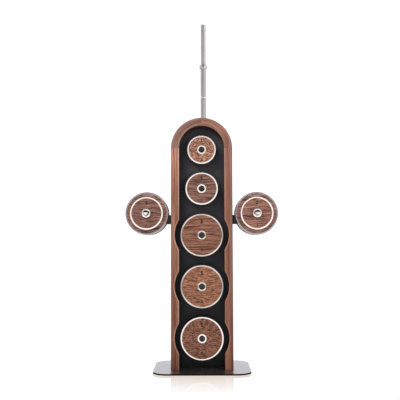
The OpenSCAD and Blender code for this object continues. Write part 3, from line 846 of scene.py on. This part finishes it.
def hex_nut(apothem, bore, thick):
    """Profile of a hexagon nut whose corners are chamfered at both faces."""
    corner, flat = apothem / math.cos(math.pi / 6), apothem * 0.96
    bevels = []
    for share in (0.0, 0.5, 1.0):
        bevels.append((hexagon(apothem, flat + (corner - flat) * share), MM * share))
    rows = [(bore, 0.6 * MM), (bore + 0.5 * MM, 0)] + bevels
    rows += [(six, thick - cut) for six, cut in reversed(bevels)]
    return rows + [(bore + 0.5 * MM, thick), (bore, thick - 0.6 * MM)]


STUD_BORE = STUD_R + 0.05 * MM
NUT_APOTHEM = 8.48 * MM
washer = ring_profile(STUD_BORE, 18 * MM, 0, extent("peg_washers").y, 0.5)
nut = hex_nut(NUT_APOTHEM, STUD_BORE, extent("peg_nuts").y)
for node, profile, segments, sharp in (
    ("peg_washers", washer, 64, 38), ("peg_nuts", nut, 72, 25),
):
    piece = Piece(node + "_zinc")
    for z in peg_heights.values():
        place = move((0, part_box(node)[0].y, z)) @ TO_BACK
        piece.spin(profile, segments, shift=place)
    piece.done(ZINC, node, "zinc_fasteners", sharp=sharp)


# ------ weight plates on the pegs

for index, name in enumerate(PLATE_SETS):
    for depth, layer in enumerate(("inner", "outer")):
        node = f"{name}_plate_{layer}"
        wood_node = f"{name}_inlays_{layer}"
        body = f"{name}_{layer}"
        lo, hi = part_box(node)
        centre = (lo + hi) / 2
        radius = (hi.x - lo.x) / 2
        back = (centre.x, hi.y, centre.z)
        # the upper and middle large plates get the darker copy of the steel, a painted shade
        metal = SHADED_LARGE_RIM if name in ("upper_large", "middle_large") else POLISHED
        turned(
            node + "_steel", [disc_profile(radius)], back, TO_FRONT,
            metal, node, "polished_steel", body, segments=128, closed=True,
        )
        piece = Piece(wood_node + "_wood", back, TO_FRONT)
        wood_rings(piece, radius)
        seed = 0.37 * index + 1.3 * depth
        piece.done(VENEER[name], wood_node, "walnut_inlay", body, seed=seed)
        if layer == "outer":
            wood_face = lo.y + RECESS - INLAY_T
            face_numbers(name, WEIGHT[name], centre, radius, wood_face, body)


# ------ screws


def button_screw(piece, radius, length, head_h, shift):
    """Button-head screw about +Z: shank below zero, domed head with a hexagon socket."""
    head_r = 1.9 * radius
    rows = [(0, -length), (radius * 0.8, -length), (radius, -length + 0.6 * MM), (radius, 0)]
    rows.append((head_r * 0.97, 0))
    rows += [(head_r * (0.55 + 0.45 * x), head_h * y) for x, y in arc((0, 0), 1, 0, 90, 8)[1:-1]]
    rows.append((radius * 0.95, head_h))
    socket = hexagon(radius * 0.62)
    rows += [(socket, head_h - 0.1 * MM), (socket, head_h * 0.42), (0, head_h * 0.34)]
    piece.spin(rows, 48, closed=False, shift=shift)


BRACKET_SCREW_R = 3 * MM
BRACKET_SCREW_LEN = 28 * MM
FLANGE_T = 5 * MM
ARM_H = 46 * MM
bracket_lo, bracket_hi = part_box("right_bracket")
arm_z = bracket_lo.z
FLANGE_X = RAIL_OUT + FLANGE_T
screw_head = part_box("bracket_screws")[1].x - FLANGE_X
SCREW_Y = 20 * MM
SCREW_UP = (11 * MM, 35 * MM)
piece = Piece("bracket_screws_zinc")
for side, turn in ((1, TO_RIGHT), (-1, TO_LEFT)):
    for y in (-SCREW_Y, SCREW_Y):
        for up in SCREW_UP:
            place = move((side * FLANGE_X, y, arm_z + up)) @ turn
            button_screw(piece, BRACKET_SCREW_R, BRACKET_SCREW_LEN, screw_head, place)
piece.done(ZINC, "bracket_screws", "zinc_fasteners", sharp=30)


# ------ dumbbell brackets

SHAFT_R = 14 * MM
SLEEVE_R = 12.5 * MM
LINER_T = 2 * MM
RUN_GAP = 0.3 * MM
SLOT_R = SHAFT_R + RUN_GAP + LINER_T
HEAD_R = 34 * MM
CHEEK_T = 6 * MM
CHEEK_Y = 37 * MM
dumbbell = middle("right_dumbbell_bar")


def opposite_angle(a, b, c):
    """The angle of a triangle, in degrees, between sides a and b and opposite to c."""
    return math.degrees(math.acos((a * a + b * b - c * c) / (2 * a * b)))


def cheek_outline():
    """Side view of a bracket cheek on the +X side, as (x, z)."""
    x, z = dumbbell.x, dumbbell.z
    top = bracket_hi.z
    end_r = ARM_H / 2
    gap = Vector((8 * MM, arm_z + end_r - z))
    end = (x + gap.x, z + gap.y)
    lean = math.degrees(math.atan2(gap.y, gap.x))
    a_end = lean + 180 - opposite_angle(gap.length, end_r, HEAD_R)
    a_head = lean + opposite_angle(gap.length, HEAD_R, end_r)
    a_top = math.degrees(math.asin((top - z) / HEAD_R))
    a_arm = 180 + math.degrees(math.asin((z - arm_z - ARM_H) / HEAD_R))
    root = FLANGE_X - 0.5 * MM
    points = [(root, arm_z)]
    points += arc(end, end_r, -90, a_end, 14)
    points += arc((x, z), HEAD_R, a_head, a_top, 12)[1:]
    points += [(x + SLOT_R, top)]
    points += arc((x, z), SLOT_R, 0, -180, 28)
    points += [(x - SLOT_R, top)]
    points += arc((x, z), HEAD_R, 180 - a_top, a_arm, 16)
    return points + [(root, arm_z + ARM_H)]


def weld_bead(piece, side, cheek, face):
    """A rippled fillet weld along one side of a cheek."""
    leg, inset, sunk = 3.2 * MM, 3 * MM, 0.3 * MM
    root = (FLANGE_X - sunk, 0)
    middle_y = cheek + face * (CHEEK_T / 2 - sunk)
    sections = []
    count = 60
    for k in range(count + 1):
        z = arm_z + inset + (ARM_H - 2 * inset) * k / count
        end = min(1.0, k / 3, (count - k) / 3)
        size = leg * (0.45 + 0.55 * math.sqrt(end)) * (1 + 0.07 * math.sin(k * 1.6))
        ring = [root] + arc(root, size, 0, 90, 5)
        sections.append([(side * x, middle_y + face * y, z) for x, y in ring])
    piece.sweep(sections)


for side, name in ((-1, "left_bracket"), (1, "right_bracket")):
    piece = Piece(name + "_steel")
    flip = Matrix.Scale(side, 4, (1, 0, 0))
    flange = rounded_rectangle(ARM_H / 2, 50 * MM, 3 * MM, 5)
    flange_place = flip @ move((RAIL_OUT, 0, arm_z + ARM_H / 2)) @ TO_RIGHT
    piece.slab(flange, 0.02 * MM, FLANGE_T, edge_mm=0.8, shift=flange_place)
    for cheek in (-CHEEK_Y, CHEEK_Y):
        place = flip @ move((0, cheek + CHEEK_T / 2, 0)) @ TO_FRONT
        piece.slab(cheek_outline(), 0, CHEEK_T, edge_mm=0.8, shift=place)
        for face in (-1, 1):
            weld_bead(piece, side, cheek, face)
    piece.done(BLACK_STEEL, name, "black_steel", sharp=35)


def liner_outline(centre, shaft, leg):
    """U of rubber round a shaft: a half ring and two straight legs."""
    r_in = shaft + RUN_GAP
    r_out = r_in + LINER_T - 0.05 * MM
    x, z = centre
    points = [(x + r_out, z + leg)]
    points += arc((x, z), r_out, 0, -180, 28)
    points += [(x - r_out, z + leg), (x - r_in, z + leg)]
    points += arc((x, z), r_in, -180, 0, 28)
    return points + [(x + r_in, z + leg)]


liner_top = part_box("bracket_liners")[1].z
piece = Piece("bracket_liners_rubber")
for side in (-1, 1):
    for cheek in (-CHEEK_Y, CHEEK_Y):
        place = move((0, cheek + CHEEK_T / 2, 0)) @ TO_FRONT
        outline = liner_outline((side * dumbbell.x, dumbbell.z), SHAFT_R, liner_top - dumbbell.z)
        piece.slab(outline, 0, CHEEK_T, edge_mm=0.4, segments=2, shift=place)
piece.done(RUBBER, "bracket_liners", "black_rubber", sharp=35)


# ------ barbell holder

bar = middle("barbell_bar")
cup_lo, cup_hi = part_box("bar_socket")
CUP_R = 23 * MM
CUP_BORE_R = 15 * MM
CUP_SCREW_RING = 33 * MM
CUP_FLANGE_R = (cup_hi.x - cup_lo.x) / 2
CUP_FLANGE_T = 6 * MM
CUP_FLOOR = 2 * MM
cup_h = cup_hi.z - cup_lo.z
cup = soften(
    [
        (0, 0), (CUP_FLANGE_R, 0), (CUP_FLANGE_R, CUP_FLANGE_T), (CUP_R, CUP_FLANGE_T),
        (CUP_R, cup_h), (CUP_BORE_R, cup_h), (CUP_BORE_R, CUP_FLOOR), (0, CUP_FLOOR),
    ],
    [0, 0.5, 1.4, 3.5, 2, 2, 0.3, 0], steps=5,
)
turned(
    "bar_socket_steel", [cup], (bar.x, bar.y, cup_lo.z), UP,
    BLACK_STEEL, "bar_socket", "black_steel", sharp=35,
)

guide_lo, guide_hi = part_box("bar_guide")
GUIDE_T = 4 * MM
TONGUE_T = 5 * MM
TONGUE_HALF = 24 * MM
BAR_SHAFT_R = 16 * MM
BAR_SLEEVE_R = 14.5 * MM
GUIDE_SLOT_R = BAR_SHAFT_R + RUN_GAP + LINER_T
guide_mid = (guide_lo.z + guide_hi.z) / 2
piece = Piece("bar_guide_steel")
size = guide_hi - guide_lo
plate = rounded_rectangle(size.x / 2, size.z / 2, 5 * MM, 6)
place = move((bar.x, guide_lo.y + GUIDE_T, guide_mid)) @ TO_FRONT
piece.slab(plate, 0, GUIDE_T, edge_mm=0.7, shift=place)
root = guide_lo.y + GUIDE_T - 0.4 * MM
corners = [(GUIDE_SLOT_R, guide_hi.y), (TONGUE_HALF, guide_hi.y), (TONGUE_HALF, root)]
half = soften(corners, [0, 3, 0])
tongue = [(bar.x - x, y) for x, y in reversed(half)]
tongue += arc((bar.x, bar.y), GUIDE_SLOT_R, 180, 360, 28)
tongue += [(bar.x + x, y) for x, y in half]
piece.slab(tongue, guide_mid - TONGUE_T / 2, guide_mid + TONGUE_T / 2, edge_mm=0.7)
piece.done(BLACK_STEEL, "bar_guide", "black_steel", sharp=35)

pad_lo, pad_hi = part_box("bar_rest_rubbers")
PAD_T = 3 * MM
LINER_H = 9 * MM
piece = Piece("bar_rest_rubbers_soft")
PAD_R = CUP_BORE_R - 0.05 * MM
pad_top = pad_lo.z + PAD_T
corners = [(0, pad_lo.z), (PAD_R, pad_lo.z), (PAD_R, pad_top), (0, pad_top)]
pad = soften(corners, [0, 0.3, 0.3, 0])
piece.spin(pad, 64, closed=False, shift=move((bar.x, bar.y, 0)))
outline = liner_outline((bar.x, bar.y), BAR_SHAFT_R, pad_hi.y - bar.y)
piece.slab(outline, guide_mid - LINER_H / 2, guide_mid + LINER_H / 2, edge_mm=0.4, segments=2)
piece.done(RUBBER, "bar_rest_rubbers", "black_rubber", sharp=35)

CUP_SCREW_R = 3 * MM
GUIDE_SCREW_R = 2.5 * MM
GUIDE_SCREW_X = 36 * MM
GUIDE_SCREW_LEN = 26 * MM
CUP_SCREW_HEAD = 3.5 * MM
GUIDE_SCREW_HEAD = 3 * MM
holder_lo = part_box("bar_holder_screws")[0]
piece = Piece("bar_holder_screws_zinc")
flange_top = cup_lo.z + CUP_FLANGE_T
for x, y in arc((bar.x, bar.y), CUP_SCREW_RING, 90, 330, 2):
    length = flange_top - holder_lo.z
    button_screw(piece, CUP_SCREW_R, length, CUP_SCREW_HEAD, move((x, y, flange_top)))
for x in (-GUIDE_SCREW_X, GUIDE_SCREW_X):
    place = move((bar.x + x, guide_lo.y + GUIDE_T, guide_mid)) @ TO_BACK
    button_screw(piece, GUIDE_SCREW_R, GUIDE_SCREW_LEN, GUIDE_SCREW_HEAD, place)
piece.done(ZINC, "bar_holder_screws", "zinc_fasteners", sharp=30)


# ------ barbell

caps_lo, caps_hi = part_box("barbell_end_caps")
collars_lo, collars_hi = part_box("barbell_collars")
CAP_LEN = 30 * MM
CAP_R = (caps_hi.x - caps_lo.x) / 2
SPIGOT_R = 6 * MM
SPIGOT_LEN = 20 * MM
COLLAR_T = 27 * MM
COLLAR_R = (collars_hi.x - collars_lo.x) / 2
COLLAR_SEAT_R = BAR_SLEEVE_R + 0.5 * MM
COLLAR_CONE = 8 * MM
COLLAR_CONE_R = 17.5 * MM
COLLAR_NECK = 7 * MM
COLLAR_NECK_R = 17 * MM
MARK_GAP = 155 * MM
MARK_W = 6 * MM
MARK_DEPTH = 0.8 * MM
bar_len = caps_hi.z - caps_lo.z
sleeve_end = collars_lo.z - caps_lo.z
step = sleeve_end + COLLAR_T


def half_bar():
    """Profile from the bar's end to its middle, as the CAD has it, with soft edges."""
    mark = step + MARK_GAP
    groove_r = BAR_SHAFT_R - MARK_DEPTH
    points = [
        (0, CAP_LEN + SPIGOT_LEN), (SPIGOT_R, CAP_LEN + SPIGOT_LEN), (SPIGOT_R, CAP_LEN),
        (BAR_SLEEVE_R, CAP_LEN), (BAR_SLEEVE_R, sleeve_end), (COLLAR_SEAT_R, sleeve_end),
        (COLLAR_SEAT_R, step), (BAR_SHAFT_R, step), (BAR_SHAFT_R, mark),
        (groove_r, mark + MARK_DEPTH), (groove_r, mark + MARK_W - MARK_DEPTH),
        (BAR_SHAFT_R, mark + MARK_W),
    ]
    soft_mm = [0, 0.3, 0, 0.8, 0, 0, 0, 0.4, 0.2, 0.2, 0.2, 0.2]
    return soften(points, soft_mm, steps=3)


def both_ends(profile):
    """A profile measured from the barbell's end, and its mirror image at the other end."""
    return profile, [(r, bar_len - h) for r, h in profile]


mark_near = bar_len / 2 - step - MARK_GAP - MARK_W
# rim paints a faint shade along the bar's outline
BRUSHED = steel(
    "brushed_steel", rgb(198, 192, 191), 0.3, depth=4e-6, rim=0.15, centre=bar_len / 2,
    rings=[(mark_near, mark_near + MARK_W, 1.75), (bar_len / 2 - sleeve_end, bar_len, 1.15)],
)
low_half, high_half = both_ends(half_bar())
foot = (bar.x, bar.y, caps_lo.z)
turned(
    "barbell_bar_steel", [low_half + high_half[::-1]], foot, UP,
    BRUSHED, "barbell_bar", "polished_steel", "barbell", sharp=32,
)

bore_r, neck = COLLAR_SEAT_R + 0.05 * MM, COLLAR_T - COLLAR_NECK
collar = soften(
    [
        (bore_r, 0), (COLLAR_CONE_R, 0), (COLLAR_R, COLLAR_CONE), (COLLAR_R, neck),
        (COLLAR_NECK_R - 0.8 * MM, neck), (COLLAR_NECK_R, neck + 0.4 * COLLAR_NECK),
        (COLLAR_NECK_R, COLLAR_T), (bore_r, COLLAR_T),
    ],
    [0.4, 0.6, 1.6, 1.2, 0.4, 0.6, 0.5, 0.2], closed=True, steps=5,
)
turned(
    "barbell_collars_steel", both_ends([(r, sleeve_end + h) for r, h in collar]), foot, UP,
    BAR_CHROME, "barbell_collars", "polished_steel", "barbell", closed=True,
)

bore_r, bore_end = SPIGOT_R - 0.05 * MM, CAP_LEN + SPIGOT_LEN - MM
cap = soften(
    [
        (0, 0), (CAP_R, 0), (CAP_R, CAP_LEN - 0.5 * MM), (CAP_R - 1.6 * MM, CAP_LEN),
        (bore_r, CAP_LEN), (bore_r, bore_end), (0, bore_end),
    ],
    [0, 2.2, 0.4, 0.3, 0, 0.5, 0], steps=5,
)
turned(
    "barbell_end_caps_steel", both_ends(cap), foot, UP,
    BAR_CHROME, "barbell_end_caps", "polished_steel", "barbell",
)


# ------ dumbbells

STOP_R = 21 * MM
STOP_T = 6 * MM
THREAD_PITCH = 5 * MM
GRIP_HALF = 46 * MM
DISC_STACK_END = 102.3 * MM


def half_dumbbell(length):
    """Profile from the middle of the grip to the bar's tip, with its thread and domed end."""
    tip = length / 2
    rows = knurl(SHAFT_R, 0.5 * MM, 36, 2.4 * MM, 0, GRIP_HALF - 8 * MM)
    rows += soften(
        [
            (SHAFT_R, GRIP_HALF - 7.5 * MM), (SHAFT_R, GRIP_HALF), (STOP_R, GRIP_HALF),
            (STOP_R, GRIP_HALF + STOP_T), (SLEEVE_R, GRIP_HALF + STOP_T),
            (SLEEVE_R, DISC_STACK_END),
        ],
        [0, 0.8, 1.4, 0.8, 0, 0],
    )
    rows += threaded(SLEEVE_R, 1.1 * MM, THREAD_PITCH, DISC_STACK_END + 0.5 * MM, tip - 3 * MM)
    # a plain rim and a narrow groove go round the dome
    for inwards, down in ((0, 2.6), (0, 1.6), (0.4, 1.4), (0.9, 3.4)):
        rows.append((SLEEVE_R - inwards * MM, tip - down * MM))
    cap_r = SLEEVE_R - MM
    rise = 3.4 * MM
    bend = (cap_r**2 + rise**2) / (2 * rise)
    for k in range(9, 0, -1):
        r = cap_r * k / 9
        rows.append((r, tip - bend + math.sqrt(bend**2 - r**2)))
    rows.append((0, tip))
    return rows


def spin_nut():
    """Profile of the round nut: fluted rim, rounded front edge and a soft bore."""
    r_in, r_out, thick = SLEEVE_R + 0.05 * MM, 24 * MM, 18 * MM
    flutes = 40

    def fluted(a):
        wave = (a * flutes / TAU) % 1.0
        return r_out - 0.9 * MM * max(0.0, 1 - abs(2 * wave - 1) * 2.2)

    edge_r, edge_gap = 3.4 * MM, 0.4 * MM
    rows = [(r_in, 0.8 * MM), (r_in + 0.8 * MM, 0), (r_out - 1.2 * MM, 0)]
    rows += [(r_out - 0.3 * MM, 0.5 * MM), (r_out, 1.2 * MM), (fluted, 2.2 * MM)]
    rows += [(fluted, 12.2 * MM), (r_out, 13.2 * MM), (r_out - 0.25 * MM, 14.2 * MM)]
    rows += arc((r_out - edge_gap - edge_r, thick - edge_r), edge_r, 0, 90, 6)[1:]
    rows += [(r_in + 2.2 * MM, thick), (r_in + 0.7 * MM, thick - 0.5 * MM)]
    return rows + [(r_in, thick - 1.6 * MM)]


def on_thread(node, ending, profile, material, slot, axis, **shape):
    """A ring round the bar's thread, outside the plates: it is a node and a body of its own."""
    lo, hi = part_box(node)
    start, turn = (hi.y, TO_FRONT) if "front" in node else (lo.y, TO_BACK)
    turned(
        node + ending, [profile], (axis.x, start, axis.z), turn,
        material, node, slot, node, closed=True, **shape,
    )


for side, label in ((-1, "left"), (1, "right")):
    body = label + "_dumbbell"
    node = body + "_bar"
    axis = middle(node)
    half = half_dumbbell(extent(node).y)
    other = [(r, -h) for r, h in reversed(half[1:])]
    turned(
        node + "_steel", [other + half], axis, TO_FRONT,
        BAR_END, node, "polished_steel", body, segments=144, sharp=40,
    )

    wood_piece = Piece(body + "_inlays_wood", axis, TO_FRONT)
    # the large plates get the darker copy of the steel, a painted shade
    for kind, metal in (("large", SHADED_GREY_RIM), ("small", POLISHED)):
        node = f"{body}_{kind}_plates"
        lo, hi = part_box(node)
        radius = (hi.x - lo.x) / 2
        piece = Piece(node + "_steel", axis, TO_FRONT)
        for facing in (UP, DOWN):
            stack = facing @ move((0, 0, hi.y - axis.y - PLATE_T))
            piece.spin(disc_profile(radius), 128, shift=stack)
            wood_rings(wood_piece, radius, stack)
        piece.done(metal, node, "polished_steel", body)
    # the small plates come last, and their front face carries the number
    face_numbers(body, "2", axis, radius, lo.y + RECESS - INLAY_T, body)
    seed = 2.1 + 0.6 * side
    wood_piece.done(VENEER[body], body + "_inlays", "walnut_inlay", body, seed=seed)

    for end in ("front", "rear"):
        node = f"{body}_{end}_rubber"
        size = extent(node)
        ring = ring_profile(SLEEVE_R + 0.05 * MM, size.x / 2, 0, size.y, 0.8)
        on_thread(node, "_soft", ring, RUBBER, "black_rubber", axis)
        node = f"{body}_{end}_nut"
        nut = spin_nut()
        on_thread(node, "_chrome", nut, CHROME, "chrome_nut", axis, segments=160, sharp=30)


# ------ CAD nodes that stay

for node, material in (
    ("back_panel", PANEL), ("frame_dowels", BEECH), ("base_bolts", ZINC), ("base_feet", RUBBER),
):
    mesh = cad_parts[node].data
    mesh.materials.clear()
    mesh.materials.append(material)


# ------ stage, light and camera


def floor_material():
    """Pale studio floor that glows by itself, and mirrors faintly round the object, over a painted
    warm reflection in front of it.
    """
    s = new_shader("studio_floor")
    x, y, z = s.local()
    share = s.range(y, cad_lo.y - 0.03, cad_lo.y - 0.4, 0.32, 0.0)

    def shade(start, *gains):
        return s.grey(*(s.math("MULTIPLY_ADD", share, gain, start) for gain in gains))

    # what the mirror adds is taken off the glow, so the bare floor stays white
    speck = s.noise(s.vector(x, y, z), 3.0, 0.5, 14.0)
    path = s.add("LightPath").outputs
    power = s.range(speck, 0.2, 0.8, 0.21, 0.23)
    power = s.plus(power, s.times(path["Is Camera Ray"], 0.80))
    power = s.plus(power, path["Is Glossy Ray"])
    # painted reflection: in the band in front of the object the glow dims, least in red, so the
    # floor there turns warm under the real mirror
    glow = s.add("Emission", Color=shade(1.0, -0.75, -1.0, -1.18), Strength=power).outputs[0]
    gloss = s.add("BsdfGlossy", Color=shade(0.0, 1.1, 1.1, 1.2), Roughness=0.06).outputs[0]
    return s.output(s.add("AddShader", _0=glow, _1=gloss))


FLOOR_HALF = 12.0
floor_mesh = bpy.data.meshes.new("studio_floor")
corners = [(-1, -1), (1, -1), (1, 1), (-1, 1)]
floor_spots = [(x * FLOOR_HALF, y * FLOOR_HALF, 0) for x, y in corners]
floor_mesh.from_pydata(floor_spots, [], [(0, 1, 2, 3)])
floor = bpy.data.objects.new("studio_floor", floor_mesh)
floor_mesh.materials.append(floor_material())
link(floor)


def studio_world():
    """White for the camera; for light and reflections, a soft room with a dimmer front."""
    world = bpy.data.worlds.new("studio")
    bpy.context.scene.world = world
    s = Shader(world)
    x, y, z = s.add("SeparateXYZ", _0=s.add("TexCoord").outputs["Generated"]).outputs
    dark = s.times(s.range(s.off(x, -0.03), 0.55, 0.2), s.range(z, 0.19, 0.25), 0.93)
    left = s.times(s.range(x, -0.3, -0.6), 0.45)
    dim = s.times(s.range(y, 0.15, -0.25), s.math("MAXIMUM", dark, left))
    room = s.times(s.range(y, -0.3, 0.3, 1.0, 1.2), s.minus(1.0, dim))
    # a window behind the camera brightens the plates' flat faces
    ahead = s.times(s.range(y, -0.93, -0.98), s.range(s.math("ABSOLUTE", z), 0.2, 0.1))
    room = s.math("MULTIPLY_ADD", ahead, 0.35, room)
    path = s.add("LightPath").outputs
    power = s.times(room, s.minus(1.0, s.times(path["Is Diffuse Ray"], 0.45)))
    power = s.math("MAXIMUM", power, s.times(path["Is Camera Ray"], 1.02))
    hue = s.mix(s.range(y, -0.2, 0.2), (1.0, 0.985, 0.97, 1), (0.97, 0.98, 1.03, 1))
    s.output(s.add("Background", Color=hue, Strength=power), "World")


studio_world()


def softbox(name, at, aim, size, power):
    light = bpy.data.lights.new(name, "AREA")
    light.shape = "RECTANGLE"
    light.size, light.size_y = size
    light.energy = power
    obj = bpy.data.objects.new(name, light)
    obj.location = at
    obj.rotation_mode = "QUATERNION"
    obj.rotation_quaternion = (Vector(aim) - Vector(at)).to_track_quat("-Z", "Y")
    obj.visible_camera = False
    obj.visible_glossy = False
    link(obj)


softbox("key_softbox", (-1.3, -2.6, 2.7), (0, 0, 1.0), (1.2, 1.2), 42)
softbox("fill_softbox", (2.2, -2.0, 1.8), (0, 0, 0.8), (1.2, 1.6), 14)

PITCH = math.radians(3.97)
YAW = math.radians(-0.18)
ROLL = math.radians(0.17)
camera_data = bpy.data.cameras.new("studio_camera")
camera_data.sensor_width = 36.0
camera_data.lens = 59.45
camera = bpy.data.objects.new("studio_camera", camera_data)
camera.location = (0.002, -3.5, 0.64)
look = Vector((math.sin(YAW) * math.cos(PITCH), math.cos(YAW) * math.cos(PITCH), math.sin(PITCH)))
camera.rotation_mode = "QUATERNION"
camera.rotation_quaternion = look.to_track_quat("-Z", "Y") @ Quaternion((0, 0, 1), -ROLL)
link(camera)
bpy.context.scene.camera = camera
bpy.context.scene.view_settings.view_transform = "Standard"
